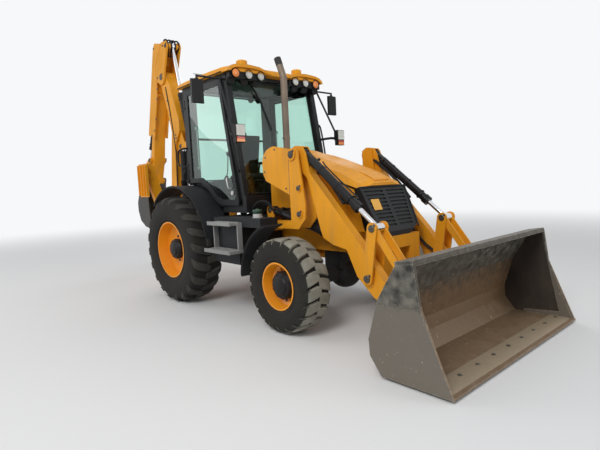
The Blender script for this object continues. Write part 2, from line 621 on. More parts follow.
class LOADER_OT_tyres(bpy.types.Operator):
    """Four tyres with crowned casings, slanted lugs and moulded side rings"""
    bl_idname = "loader.tyres"
    bl_label = "Tyres"

    # half section of a tyre: share of half the width, share of the height from rim to casing
    SECTION = [(0.80, -0.07), (0.86, 0.02), (0.93, 0.08), (0.96, 0.20), (1.00, 0.42),
               (0.995, 0.60), (0.97, 0.76), (0.93, 0.87), (0.86, 0.945), (0.72, 0.985),
               (0.45, 1.0)]

    def casing(self, rim_r, casing_r, half, centre, turns=120):
        """Lathed casing; the moulded ring near the rim is a step of 4 mm on the side."""
        side = [(s * half, rim_r + t * (casing_r - rim_r)) for s, t in self.SECTION]
        ring = []
        for k, (y, r) in enumerate(side):
            ring.append((y, r))
            if k == 2:
                ring += [(y + 0.004, r + 0.004), (y + 0.004, r + 0.012), (y, r + 0.016)]
        prof = [(-y, r) for y, r in ring] + [(y, r) for y, r in reversed(ring)]
        return lathe(prof, centre, (0, 1, 0), turns)

    def lugs(self, rim_r, casing_r, half, centre, count, height, width, sweep):
        """Slanted bars: each follows the casing's section from near its middle over the
        shoulder, turning back by the sweep, with a base wider than its top."""
        side = np.array([(s * half, rim_r + t * (casing_r - rim_r)) for s,
            t in self.SECTION[::-1]])
        side = np.vstack([[[-0.10 * half, casing_r], [0.15 * half, casing_r]], side[:5]])
        step = np.gradient(side, axis=0)
        step /= np.linalg.norm(step, axis=1)[:, None]
        out = np.stack([-step[:, 1], step[:, 0]], -1)
        run = np.linspace(0, 1, len(side))
        tall = height * np.clip(1.15 - run ** 3 * 0.85, 0, 1)
        top = side + out * tall[:, None]
        low = side - out * 0.012
        lean = sweep * run ** 1.2
        parts = []
        # corners round a bar's section: base back, top back, top front, base front
        for y_side in (1, -1):
            for k in range(count):
                mid = (k + (0.5 if y_side > 0 else 0.0)) * 2 * math.pi / count
                pts = []
                for section, spread in ((low, 1.0), (top, 0.84), (top, -0.84), (low, -1.0)):
                    wide = width * (1 + (0.35 - 0.75 * run ** 3) * run) / 2
                    angle = mid - lean + spread * wide / casing_r
                    pts.append(np.stack([section[:, 1] * np.cos(angle), y_side * section[:, 0],
                                         section[:, 1] * np.sin(angle)], -1))
                verts, faces = capped(np.stack(pts, 1) + np.array(centre))
                # the mirrored half is turned back, so that its faces point outwards
                parts.append((verts, [f[::-1] for f in faces] if y_side < 0 else faces))
        return parts

    def execute(self, context):
        opts = context.scene.loader_tyres
        table = [  # end, wheel, half track, rim radius, width, lugs, lug width, sweep, tread
            ("front", FRONT_WHEEL, FRONT_TRACK, 0.255, 0.325, opts.front_lugs, 0.112, 0.15,
             "tread_dusty"),
            ("rear", REAR_WHEEL, REAR_TRACK, 0.385, 0.430, opts.rear_lugs, 0.098, -0.17,
             "tread_dark"),
        ]
        for end, wheel, track, rim_r, width, count, lug_w, sweep, tread in table:
            for side, s in SIDES:
                centre = at(*wheel, s * track)
                # a tyre stands on the ground, so its radius is its centre's height
                casing_r = wheel[1] - opts.lug_height
                body = f"wheel_{end}_{side}"
                carcass = put(f"tyre_casing_{end}_{side}",
                              [self.casing(rim_r, casing_r, width / 2, centre)], "tyre_side",
                              body, sharp=50)
                bars = self.lugs(rim_r, casing_r, width / 2 - 0.006, centre, count,
                                 opts.lug_height / 1.15 + 0.0002, lug_w, sweep)
                put(f"tyre_lugs_{end}_{side}", bars, tread, body,
                    bevel=0.004, segments=1)
                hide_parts(f"tyre_{end}_{side}")
        return {"FINISHED"}


class LOADER_OT_wheels(bpy.types.Operator):
    """Black planetary hubs with bolts, wheel nuts and valves on the four rims"""
    bl_idname = "loader.wheels"
    bl_label = "Wheel Hubs"

    def execute(self, context):
        # end, wheel, half track, hub face and nut seat past it, hub radius, nuts, nut circle
        table = [
            ("front", FRONT_WHEEL, FRONT_TRACK, 0.072, 0.018, 0.143, 8, 0.166),
            ("rear", REAR_WHEEL, REAR_TRACK, 0.100, 0.028, 0.134, 10, 0.172),
        ]
        for end, (x, z), track, face, seat, hub_r, nuts, circle in table:
            for side, s in SIDES:
                y = s * (track + face)
                out = (0, s, 0)
                deep = face - 0.019
                hub = lathe([(0.002 - deep, 0), (0.002 - deep, hub_r + 0.004),
                    (0.004, hub_r + 0.004), (0.012, hub_r - 0.004), (0.030, hub_r - 0.012),
                    (0.036, hub_r * 0.72), (0.050, hub_r * 0.66), (0.054, hub_r * 0.60),
                    (0.054, 0)], at(x, z, y), out, 48)
                bolts = []
                for k in range(8):
                    t = (k + 0.5) * math.pi / 4
                    spot = (x + 0.84 * hub_r * math.cos(t), z + 0.84 * hub_r * math.sin(t))
                    bolts.append(bolt(at(*spot, y + s * 0.030), out, 0.008, 0.009))
                put(f"hub_{end}_{side}", [hub] + bolts, "ram_black", f"wheel_{end}_{side}",
                    bevel=0.0015)
                parts = []
                for k in range(nuts):
                    t = k * 2 * math.pi / nuts
                    spot = (x + circle * math.cos(t), z + circle * math.sin(t))
                    parts.append(bolt(at(*spot, s * (track + seat)), out, 0.0125, 0.020))
                put(f"wheel_nuts_{end}_{side}", parts, "pin_steel", f"wheel_{end}_{side}")
        return {"FINISHED"}


class LOADER_OT_pins(bpy.types.Operator):
    """Pin heads with keeper plates and bolts at every joint of the loader and the backhoe"""
    bl_idname = "loader.pins"
    bl_label = "Pins"

    # name, body, [x, z], |y| of the face, side of the face (1 out, -1 in), head radius
    HEADS = [
        ("arm_pivot", "chassis", (2.115, 1.820), 0.703, 1, 0.040),
        ("tower_middle", "chassis", (2.205, 1.468), 0.700, 1, 0.026),
        ("tower_low", "chassis", (2.200, 1.200), 0.700, 1, 0.030),
        ("lift_foot", "chassis", (1.480, 1.220), 0.515, 1, 0.032),
        ("lever_foot", "loader_arms", (3.060, 0.620), 0.673, 1, 0.036),
        ("lever_head", "loader_levers", (3.130, 1.085), 0.670, 1, 0.034),
        ("lever_head_in", "loader_levers", (3.130, 1.085), 0.490, -1, 0.034),
        ("bucket_pivot", "front_bucket", (3.400, 0.300), 0.678, 1, 0.040),
        ("bucket_link", "front_bucket", (3.490, 0.610), 0.678, 1, 0.034),
        ("boom_foot", "kingpost", (-1.700, 0.960), 0.142, 1, 0.044),
        ("boom_ram_head", "boom", (-1.480, 2.240), 0.065, 1, 0.034),
        ("dipper_ram_foot", "boom", (-1.205, 2.260), 0.065, 1, 0.034),
        ("boom_head", "dipper", (-1.890, 3.470), 0.129, 1, 0.052),
        ("dipper_ram_head", "dipper", (-1.649, 3.942), 0.129, 1, 0.034),
        ("hoe_lever_foot", "dipper_extension", (-2.551, 2.073), 0.161, 1, 0.034),
        ("hoe_lever_head", "hoe_lever", (-2.922, 1.851), 0.157, 1, 0.032),
        ("hoe_pivot", "hoe_bucket", (-2.640, 1.690), 0.167, 1, 0.038),
        ("hoe_link", "hoe_bucket", (-2.905, 1.527), 0.167, 1, 0.032),
    ]

    def execute(self, context):
        for name, body, point, y, way, radius in self.HEADS:
            parts = []
            for _, s in SIDES:
                face, out = s * y, (0, s * way, 0)
                parts.append(lathe([(0, 0), (0, radius), (0.007, radius), (0.010, radius * 0.88),
                                    (0.010, 0)], at(*point, face), out, 24))
                parts.append(lathe([(0, 0), (0, 0.006), (0.006, 0.006), (0.008, 0.004),
                                    (0.014, 0.004), (0.014, 0)],
                                   at(*point, face + out[1] * 0.010), out, 10))
                parts.append(bolt(at(point[0] + radius * 0.9, point[1] + radius * 0.9, face),
                                  out, 0.009, 0.012))
            put(f"pin_{name}", parts, "pin_steel", body, bevel=0.001, segments=1)
        return {"FINISHED"}


class LOADER_OT_bucket(bpy.types.Operator):
    """Cheek linings, bolted cutting edge and welds of the front bucket"""
    bl_idname = "loader.bucket"
    bl_label = "Front Bucket"

    INSIDE = [(4.130, 0.0385), (3.960, 0.0385), (3.958, 0.0205), (3.600, 0.0205), (3.4905, 0.161),
              (3.4805, 0.290), (3.5755, 0.610), (3.7455, 0.889)]
    CHEEK = [(4.10, 0.045), (3.615, 0.030), (3.500, 0.165), (3.492, 0.289), (3.585, 0.604),
             (3.760, 0.885), (3.880, 0.905), (3.935, 0.615), (4.045, 0.110)]

    def execute(self, context):
        cheeks = []
        for _, s in SIDES:
            cheeks.append(side_slab(self.CHEEK, *sorted((s * 1.1585, s * 1.1575))))
        put("bucket_cheek_linings", cheeks, "bucket_cheek", "front_bucket")
        blade = side_slab([(3.970, 0.0382), (4.131, 0.0382), (4.199, 0.0245), (4.199, 0.0262),
                           (4.131, 0.0440), (3.970, 0.0440)], -1.172, 1.172)
        bolts = [bolt(at(4.045, 0.044, y), (0, 0, 1), 0.013, 0.009)
                 for y in np.linspace(-1.08, 1.08, 9)]
        put("bucket_blade", [blade], "edge_tan", "front_bucket", bevel=0.001)
        put("bucket_blade_bolts", bolts, "pin_steel", "front_bucket", bevel=0.001,
            segments=1)
        welds = []
        for _, s in SIDES:
            y = s * 1.155
            welds.append(tube([at(x + 0.004, z + 0.006, y) for x, z in self.INSIDE[3:]], 0.005, 6,
                3))
        put("bucket_welds", welds, "bucket_inside", "front_bucket")
        return {"FINISHED"}


class LOADER_OT_lamps(bpy.types.Operator):
    """Roof work lamps in their pods, beacons, head lamp units and rear lamps"""
    bl_idname = "loader.lamps"
    bl_label = "Lamps"

    def execute(self, context):
        # pods behind the roof lamps, with the lamps' bowls and the head lamp units
        housings, clear, amber, bowls, caps = [], [], [], [], []
        for _, s in SIDES:
            arch = [(0.742, 2.800), (0.742, 2.858), (0.712, 2.896), (0.640, 2.920), (0.465, 2.928),
                    (0.310, 2.920), (0.222, 2.894), (0.190, 2.858), (0.190, 2.800)]
            housings.append(cross_slab([(s * a, b) for a, b in arch], 1.066, 1.128))
            for y in (0.285, 0.465, 0.655):
                centre = at(1.100, 2.856, s * y)
                housings.append(lathe([(-0.004, 0), (-0.004, 0.036), (0.018, 0.053),
                    (0.044, 0.059), (0.052, 0.059), (0.052, 0.054), (0.040, 0.050), (0.040, 0)],
                    centre, (1, 0, 0), 36))
                lens = lathe([(0.042, 0), (0.042, 0.0495), (0.047, 0.0495), (0.052, 0.043),
                              (0.057, 0.024), (0.059, 0)], centre, (1, 0, 0), 36)
                (amber if y > 0.6 else clear).append(lens)
                if y < 0.6:
                    bowls.append(lathe(band(0.0402, 0.0418, 0, 0.0492), centre, (1, 0, 0), 36))
                housings.append(lathe([(-0.050, 0), (-0.050, 0.036), (-0.030, 0.050),
                                       (0.024, 0.056), (0.032, 0.050), (0.032, 0)],
                                      at(1.060, 2.792, s * (y + 0.032)), (0.94, 0, -0.34), 32))
            for y in (0.480, 0.620):
                centre = at(-0.095, 2.839, s * y)
                housings.append(lathe([(0, 0), (0, 0.026), (0.020, 0.041), (0.050, 0.044),
                                       (0.055, 0.044), (0.055, 0.039), (0.045, 0.037),
                                       (0.045, 0)], centre, (-1, 0, 0), 32))
                clear.append(lathe([(0.046, 0), (0.046, 0.0365), (0.052, 0.0365), (0.056, 0.02),
                                    (0.057, 0)], centre, (-1, 0, 0), 32))
                bowls.append(lathe(band(0.0451, 0.0459, 0, 0.036),
                                   centre, (-1, 0, 0), 32))
            # beacon: dark foot, ribbed yellow cover
            top = at(0.985, 2.9600, s * 0.450)
            housings.append(lathe([(-0.012, 0), (-0.012, 0.079), (0.008, 0.079), (0.010, 0.075),
                                   (0.010, 0)], top, (0, 0, 1), 40))
            rings = [(0.010, 0), (0.010, 0.074)]
            for k in range(9):
                rings += [(0.016 + 0.0085 * k, 0.074 - 0.0006 * k),
                    (0.019 + 0.0085 * k, 0.071 - 0.0006 * k)]
            caps.append(lathe(rings + [(0.092, 0.066), (0.099, 0.054), (0.102, 0.030), (0.103, 0)],
                              top, (0, 0, 1), 40))
            # head lamp over its indicator
            y = s * 0.828
            housings.append(block(at(1.350, 2.080, y - 0.066), at(1.418, 2.216, y + 0.066)))
            housings.append(block(at(1.356, 2.012, y - 0.060), at(1.419, 2.079, y + 0.060)))
            face = [(y - 0.058, 2.088), (y + 0.058, 2.088), (y + 0.058, 2.202),
                    (y + 0.048, 2.210), (y - 0.048, 2.210), (y - 0.058, 2.202)]
            bowls.append(cross_slab(face, 1.4181, 1.4195))
            clear.append(cross_slab(face, 1.4200, 1.4260))
            amber.append(block(at(1.4192, 2.018, y - 0.054), at(1.4255, 2.052, y + 0.054)))
        body = put("lamp_housings", housings, "control_black", "chassis",
            bevel=0.002)
        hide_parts("lamps")
        put("lamp_bowls", bowls, "lamp_reflector", "chassis")
        put("lamp_lenses", clear, "lens_clear", "chassis", bevel=0.001, segments=1)
        put("lamp_lenses_amber", amber, "lens_amber", "chassis", bevel=0.001,
            segments=1)
        put("beacon_covers", caps, "beacon_yellow", "chassis")
        red = []
        for _, s in SIDES:
            inner, outer = sorted((s * 0.655, s * 0.712))
            red.append(block(at(1.4192, 2.054, s * 0.828 - 0.054),
                at(1.4250, 2.076, s * 0.828 + 0.054)))
            red.append(block(at(-0.066, 1.66, inner), at(-0.0605, 1.80, outer)))
        put("lamp_lenses_red", red, "lens_red", "chassis", bevel=0.0015, segments=1)
        return {"FINISHED"}


class LOADER_OT_cab(bpy.types.Operator):
    """Mirrors, seals, wiper, handles, levers, dashboard, aerial and headliner of the cab"""
    bl_idname = "loader.cab"
    bl_label = "Cab Fittings"

    def execute(self, context):
        glass, rims = [], []
        for _, s in SIDES:
            y = s * 1.105
            face = [(y + a * 0.068, 2.625 + b * 0.128) for a, b in ((-1, -0.9), (-0.85, -1),
                (0.85, -1), (1, -0.9), (1, 0.9), (0.85, 1), (-0.85, 1), (-1, 0.9))]
            glass.append(cross_slab(face, 0.9825, 0.9845))
            hood = [(y + (a - y) * 1.1, 2.625 + (b - 2.625) * 1.06) for a, b in face]
            rims.append(cross_slab(hood, 0.9848, 1.020))
            rims.append(lathe(band(0, 0.024, 0, 0.02),
                              at(1.000, 2.752, s * 1.100), (0, 0, 1), 16))
        put("mirror_faces", glass, "mirror_face", "chassis")
        put("mirror_shells", rims, "control_black", "chassis", bevel=0.004)
        # seals along the windscreen, the rear window and the header
        seals = []
        screen = lambda z: 1.2075 - (z - 1.400) * 0.1792
        for radius, corners in (
                (0.012, [(screen(z), z, y) for z, y in ((1.415, -0.635), (1.415, 0.635),
                                                        (2.825, 0.635), (2.825, -0.635))]),
                (0.011, [(-0.045, z, y) for z, y in ((1.615, -0.635), (1.615, 0.635),
                                                     (2.825, 0.635), (2.825, -0.635))])):
            for start, end in zip(corners, corners[1:] + corners[:1]):
                seals.append(tube([at(*start), at(*end)], radius, 8, 0))
        seals.append(tube([at(-0.045, 2.20, -0.635), at(-0.045, 2.20, 0.635)], 0.016, 8, 0))
        for _, s in SIDES:
            low, high = sorted((s * 0.700, s * 0.7190))
            for outline in ([(0.011, 1.62), (0.105, 1.62), (0.105, 2.775), (0.900, 2.775),
                    (0.905, 2.838), (0.011, 2.838)], [(1.150, 1.36), (1.222, 1.36), (0.962, 2.80),
                    (0.895, 2.80)]):
                seals.append(side_slab(outline, low, high))
        put("window_seals", seals, "hose_rubber", "chassis")
        # wiper hung from the header, in front of the windscreen
        pivot, end = (screen(2.79) + 0.018, 2.79, -0.335), (screen(2.54) + 0.020, 2.54, -0.195)
        wiper = [lathe([(-0.012, 0), (-0.012, 0.020), (0.012, 0.020), (0.018, 0.014), (0.018, 0)],
            at(*pivot), (1, 0, 0.18), 20), tube([at(*pivot), at(screen(2.66) + 0.034, 2.66, -0.27),
            at(*end)], 0.013, 8, 5),
            tube([at(screen(2.66) + 0.014, 2.66, -0.300), at(screen(2.54) + 0.012, 2.54, -0.195),
            at(screen(2.22) + 0.014, 2.22, -0.10)], 0.010, 6, 5)]
        put("wiper", wiper, "control_black", "chassis")
        # door handles and pulls ride on the doors
        for side, s in SIDES:
            y = s * 0.7435
            parts = [tube([at(1.03, 1.50, y), at(1.03, 1.50, y + s * 0.035),
                at(1.015, 1.56, y + s * 0.042), at(1.00, 1.62, y + s * 0.035), at(1.00, 1.62, y)],
                0.009, 8, 4), lathe([(0, 0), (0, 0.028), (0.012, 0.026), (0.012, 0)],
                at(1.06, 1.44, y), (0, s, 0), 20),
                tube([at(0.20, 1.80, y - s * 0.035), at(0.20, 1.80, y - s * 0.060),
                at(0.20, 2.30, y - s * 0.060), at(0.20, 2.30, y - s * 0.035)], 0.011, 8, 4)]
            put(f"door_handle_{side}", parts, "plate_pale", f"door_{side}")
        # dashboard, side console, levers with gaiters
        dash = side_slab(((1.10, 1.40), (1.21, 1.40), (1.185, 1.56),
                                                 (1.14, 1.60), (1.06, 1.545)), -0.30, 0.30)
        side_box = side_slab(((0.30, 1.262), (0.95, 1.262), (0.95, 1.50),
                                                     (0.88, 1.60), (0.34, 1.62), (0.30, 1.58)),
                        -0.56, -0.36)
        put("dashboard", [dash, side_box], "control_black", "chassis",
            bevel=0.012)
        levers = []
        for x, y, lean_x, top in ((0.80, -0.45, 0.04, 1.86), (0.70, -0.42, -0.03, 1.80),
                                  (0.12, 0.20, 0.06, 1.98), (0.12, -0.20, 0.06, 1.98),
                                  (0.12, 0.10, 0.05, 1.90), (0.12, -0.10, 0.05, 1.90)):
            base = 1.60 if y < -0.4 else 1.62
            levers.append(lathe([(0, 0), (0, 0.045), (0.012, 0.045), (0.016, 0.034),
                (0.026, 0.037), (0.032, 0.026), (0.042, 0.029), (0.050, 0.016), (0.060, 0.012),
                (0.060, 0)], at(x - 0.01, base, y), (0, 0, 1), 20))
            levers.append(tube([at(x - 0.01, base + 0.03, y), at(x + lean_x * 0.5, base + 0.14, y),
                                at(x + lean_x, top, y)], 0.007, 8, 4))
            levers.append(lathe([(-0.035, 0), (-0.035, 0.012), (-0.01, 0.023), (0.02, 0.025),
                (0.035, 0.014), (0.038, 0)], at(x + lean_x, top, y), (0, 0, 1), 18))
        for y in (-0.18, 0.02, 0.14):
            levers.append(side_slab(((1.125, 1.33), (1.155, 1.36), (1.090, 1.43),
                                                            (1.082, 1.425)), y - 0.035, y + 0.035))
        put("levers_and_pedals", levers, "control_black", "chassis")
        # aerial on the roof, handrails at the rear posts, sun shade
        extra = [tube([at(0.43, 2.955, -0.58), at(0.40, 2.985, -0.585), at(0.05, 3.075, -0.60)],
                      0.0035, 6, 5),
                 lathe([(0, 0), (0, 0.022), (0.02, 0.016), (0.035, 0.008), (0.035, 0)],
                       at(0.435, 2.945, -0.58), (0, 0, 1), 16)]
        for _, s in SIDES:
            y = s * 0.722
            extra.append(tube([at(-0.02, 2.07, y), at(-0.08, 2.07, y + s * 0.045),
                               at(-0.20, 2.03, y + s * 0.050), at(-0.20, 1.86, y + s * 0.050),
                               at(-0.08, 1.82, y + s * 0.045), at(-0.02, 1.82, y)], 0.011, 8, 5))
            extra.append(tube([at(1.16, 1.72, s * 0.70), at(1.20, 1.74, s * 0.745),
                               at(1.09, 2.28, s * 0.765), at(1.06, 2.28, s * 0.70)], 0.012, 8, 5))
        put("aerial_and_rails", extra, "control_black", "chassis")
        lining = side_slab(((0.012, 2.876), (0.935, 2.876), (0.935, 2.868),
                                                   (0.60, 2.858), (0.30, 2.858), (0.012, 2.868)),
                      -0.645, 0.645)
        trims = [lining]
        for _, s in SIDES:
            post = [(-0.050, 0.640), (0.100, 0.640), (0.130, 0.628), (0.110, 0.610),
                (-0.015, 0.596), (-0.050, 0.600)]
            trims.append(slab([(x - MIDDLE, s * y) for x, y in post], 1.630, 2.836, "xy"))
        put("headliner", trims, "lining_grey", "chassis", bevel=0.006)
        return {"FINISHED"}


class LOADER_OT_engine_side(bpy.types.Operator):
    """Exhaust tip, grille plate and rim, tank caps, step treads, fender lips and bellows"""
    bl_idname = "loader.engine_side"
    bl_label = "Engine Side"

    def execute(self, context):
        lean = math.radians(22)
        up = (-math.sin(lean), 0, math.cos(lean))
        bend = np.array(at(1.770, 2.700, -0.452))
        along = lambda d: tuple(bend + d * np.array(up))
        tip = lathe([(0.150, 0.0385), (0.150, 0.0395), (0.243, 0.0395), (0.243, 0.034),
                     (0.150, 0.034)], tuple(bend), up, 32)
        cover = lathe(band(0.236, 0.237, 0, 0.0335), tuple(bend), up, 32)
        put("exhaust_tip", [tip, cover], "exhaust_tip", "chassis")
        clamps = []
        for z in (1.72, 2.02):
            clamps.append(lathe(band(0, 0.022, 0.0375, 0.0425),
                                at(1.770, z, -0.452), (0, 0, 1), 32))
            clamps.append(bolt(at(1.770, z + 0.011, -0.4945), (0, -1, 0), 0.007, 0.012))
        clamps.append(tube([at(1.770, 2.03, -0.452), at(1.72, 2.00, -0.42),
            at(1.70, 1.90, -0.375)], 0.010, 8, 4))
        put("exhaust_clamps", clamps, "exhaust_brown", "chassis")
        # blank plate on the grille
        a, b = np.array((2.745, 1.446)), np.array((2.960, 1.000))
        run = (b - a) / np.linalg.norm(b - a)
        out = np.array((-run[1], run[0])) * (1 if -run[1] > 0 else -1)
        p, q = a + run * 0.135, a + run * 0.255
        plate = slab([at(*v)[::2] for v in (p + out * 0.001, q + out * 0.001, q + out * 0.004,
                                            p + out * 0.004)], -0.275, -0.150)
        put("grille_plate", [plate], "beacon_yellow", "chassis", bevel=0.001,
            segments=1)
        # rim round the grille
        rim = []
        for _, s in SIDES:
            pts = [a + out * 0.004, a + run * 0.25 + out * 0.004, a + run * 0.485 + out * 0.004]
            ys = (0.372, 0.352, 0.322)
            rim.append(tube([at(*v, s * y) for v, y in zip(pts, ys)], 0.009, 8, 4))
        rim.append(tube([at(*(a + out * 0.004), y) for y in (-0.372, 0, 0.372)], 0.009, 8, 4))
        put("grille_rim", rim, "control_black", "chassis")
        # filler cap on its pale neck
        cap, neck = [], []
        for _, s in SIDES:
            spot = at(1.630, 1.160, s * 0.810)
            neck.append(lathe([(0, 0), (0, 0.058), (0.010, 0.058), (0.014, 0.052), (0.044, 0.052),
                               (0.044, 0)], spot, (0, 0, 1), 32))
            cap.append(lathe([(0.054, 0), (0.054, 0.052), (0.060, 0.056), (0.082, 0.056),
                              (0.090, 0.048), (0.092, 0.018), (0.100, 0.015), (0.100, 0)],
                             spot, (0, 0, 1), 12))
        put("filler_necks", neck, "plate_pale", "chassis")
        put("filler_caps", cap, "cap_green", "chassis", bevel=0.002)
        # raised studs and lips on the steps
        studs = []
        for _, s in SIDES:
            for x0, x1, y1, z in ((0.99, 1.47, 1.080, 1.1155), (0.96, 1.50, 1.120, 0.8005)):
                for x in np.arange(x0 + 0.03, x1 - 0.02, 0.045):
                    for k, y in enumerate(np.arange(0.955, y1 - 0.012, 0.035)):
                        shift = 0.0225 * (k % 2)
                        studs.append(lathe([(-0.001, 0), (-0.001, 0.010), (0.004, 0.007),
                            (0.004, 0)], at(x + shift * 0.8, z - 0.0005, s * y), (0, 0, 1), 6))
                lip = sorted((s * (y1 - 0.001), s * (y1 + 0.005)))
                studs.append(block(at(x0, z - 0.035, lip[0]), at(x1, z + 0.008, lip[1])))
        put("step_treads", studs, "step_steel", "chassis")
        # rubber lips on the fenders' outer edges
        lips = []
        for _, s in SIDES:
            for (x, z), radius, start, stop in ((REAR_WHEEL, 0.845, 14, 131),
                                                (FRONT_WHEEL, 0.636, 108, 176)):
                t = np.radians(np.linspace(start, stop, 26))
                lips.append(tube([at(x + radius * math.cos(v), z + radius * math.sin(v), s * 1.008)
                                  for v in t], 0.0095, 8, 0))
        put("fender_lips", lips, "hose_rubber", "chassis")
        # ribbed hose bellows at the cab's rear corners
        bellows = []
        for _, s in SIDES:
            rings = [(0, 0)]
            for k in range(6):
                rings += [(0.012 * k, 0.040), (0.012 * k + 0.006, 0.047)]
            bellows.append(lathe(rings + [(0.072, 0.040), (0.072, 0)], at(-0.11, 1.565, s * 0.760),
                                 (0, 0, 1), 24))
            bellows.append(tube([at(-0.11, 1.62, s * 0.760), at(-0.12, 1.72, s * 0.750),
                                 at(-0.09, 1.80, s * 0.700)], 0.020, 10, 5))
        put("rear_bellows", bellows, "hose_rubber", "chassis")
        return {"FINISHED"}


class LOADER_OT_hoses(bpy.types.Operator):
    """Gland rings, ports and steel pipes on the rams, and the hoses between them"""
    bl_idname = "loader.hoses"
    bl_label = "Hoses"

    # name, body, foot, head, |y| (None: one ram in the middle), barrel radius, barrel length,
    # turn of the ports about the ram in degrees
    RAMS = [
        ("lift", "lift_barrel", (1.480, 1.220), (2.510, 0.950), 0.452, 0.048, 0.920, 0),
        ("tilt", "tilt_barrel", (2.205, 1.832), (3.130, 1.085), 0.580, 0.044, 0.858, -60),
        ("boom", "boom_ram_barrel", (-1.545, 1.245), (-1.480, 2.240), None, 0.060, 0.890, 180),
        ("dipper", "dipper_ram_barrel", (-1.205, 2.260), (-1.649, 3.942), None, 0.060, 0.860, 0),
        ("hoe", "hoe_ram_barrel", (-2.330, 3.364), (-2.922, 1.851), None, 0.048, 1.120, 180),
    ]

    def execute(self, context):
        for name, body, foot, head, y, radius, length, turn in self.RAMS:
            parts = []
            a, b = np.array(foot), np.array(head)
            run = (b - a) / np.linalg.norm(b - a)
            axis = (run[0], 0, run[1])
            across = np.array((-run[1], 0, run[0]))
            for s in ((1.0,) if y is None else (1.0, -1.0)):
                level = 0.0 if y is None else s * y
                base = np.array(at(*foot, level))
                c, w = math.cos(math.radians(turn)), math.sin(math.radians(turn))
                off = c * across + w * np.array((0, s, 0))
                spot = lambda d, r: tuple(base + np.array(axis) * d + off * r)
                parts.append(lathe([(length - 0.002, radius - 0.006),
                                    (length - 0.002, radius + 0.009),
                                    (length + 0.012, radius + 0.009),
                                    (length + 0.016, radius + 0.004),
                                    (length + 0.016, radius - 0.006)], tuple(base), axis, 32))
                parts.append(lathe(band(length - 0.075, length - 0.065, radius - 0.002,
                    radius + 0.010), tuple(base), axis, 32))
                for d in (0.165, length - 0.045):
                    parts.append(lathe([(-0.015, 0), (-0.015, 0.016), (0.022, 0.016),
                        (0.022, 0.012), (0.030, 0.012), (0.030, 0)], spot(d, radius), tuple(off),
                        12))
                pipe = radius + 0.026
                parts.append(tube([spot(length - 0.045, radius + 0.012),
                    spot(length - 0.048, pipe), spot(length - 0.085, pipe + 0.002),
                    spot(0.60 * length, pipe - 0.004), spot(0.30, pipe - 0.004),
                    spot(0.215, pipe + 0.006)], 0.0075, 8, 5))
                for d in (0.34 * length, 0.66 * length):
                    parts.append(lathe(band(d, d + 0.022, radius - 0.002, radius + 0.004),
                        tuple(base), axis, 24))
            put(f"ram_fittings_{name}", parts, "ram_black", body)
        self.arm_hoses()
        self.frame_hoses()
        self.hoe_hoses()
        return {"FINISHED"}

    def arm_hoses(self):
        """Two pipes and a pair of hoses on the inner and upper faces of each loader arm."""
        parts, pipes = [], []
        for _, s in SIDES:
            for k in range(2):
                y = s * (0.548 + 0.030 * k)
                parts.append(tube([at(2.235, 1.760 - 0.01 * k, y - s * 0.05),
                                   at(2.30, 1.700, y - s * 0.035), at(2.42, 1.600, y - s * 0.025),
                                   at(2.56, 1.470, y - s * 0.020), at(2.70, 1.300, y - s * 0.020)],
                                  0.0125, 10, 6))
            for y, z0 in ((0.520, 0.0), (0.500, -0.012)):
                pipes.append(tube([at(2.44, 1.45 + z0, s * y), at(2.64, 1.10 + z0, s * y),
                    at(2.86, 0.84 + z0, s * y), at(3.02, 0.72 + z0, s * y)], 0.008, 8, 6))
        put("arm_hoses", parts, "hose_rubber", "loader_arms")
        put("arm_pipes", pipes, "ram_black", "loader_arms")

    def frame_hoses(self):
        """Hoses from the valve under the cab floor to the loader rams and along the tanks."""
        parts = []
        for _, s in SIDES:
            for k in range(3):
                parts.append(tube([at(1.30 + 0.01 * k, 1.13 + 0.022 * k, s * (0.60 + 0.026 * k)),
                                   at(1.37, 1.235 + 0.020 * k, s * (0.60 + 0.030 * k)),
                                   at(1.44, 1.285 + 0.022 * k, s * (0.58 + 0.020 * k)),
                                   at(1.53, 1.275 + 0.018 * k, s * (0.555 + 0.008 * k)),
                                   at(1.62, 1.180 + 0.008 * k, s * (0.545 + 0.006 * k))],
                                  0.013, 10, 6))
        put("frame_hoses", parts, "hose_rubber", "chassis")

    def hoe_hoses(self):
        """Hoses over the boom head and at the dipper's rear edge, and pipes along the boom."""
        cluster = []
        for k in range(4):
            y = -0.054 + 0.036 * k
            cluster.append(tube([at(-1.715, 3.780, y), at(-1.640, 3.860 + 0.01 * k, y * 1.6),
                                 at(-1.600, 3.930, y * 1.9), at(-1.640, 4.035, y * 1.9),
                                 at(-1.760, 4.065, y * 1.6), at(-1.835, 4.030, y)], 0.014, 10, 6))
        put("dipper_head_hoses", cluster, "hose_rubber", "dipper")
        rear = []
        for k in range(3):
            y = -0.04 + 0.04 * k
            rear.append(tube([at(-2.075, 4.045, y), at(-2.150, 3.960, y), at(-2.200, 3.780, y),
                              at(-2.215, 3.700, y)], 0.013, 10, 6))
        put("dipper_rear_hoses", rear, "hose_rubber", "dipper")
        spine = []
        for _, s in SIDES:
            for z in (0.0, 0.035):
                spine.append(tube([at(x, level + z, s * 0.102) for x, level in (
                    (-1.62, 1.55), (-1.58, 1.95), (-1.60, 2.30), (-1.70, 2.85), (-1.80, 3.25))],
                    0.009, 8, 6))
        put("boom_pipes", spine, "ram_black", "boom")


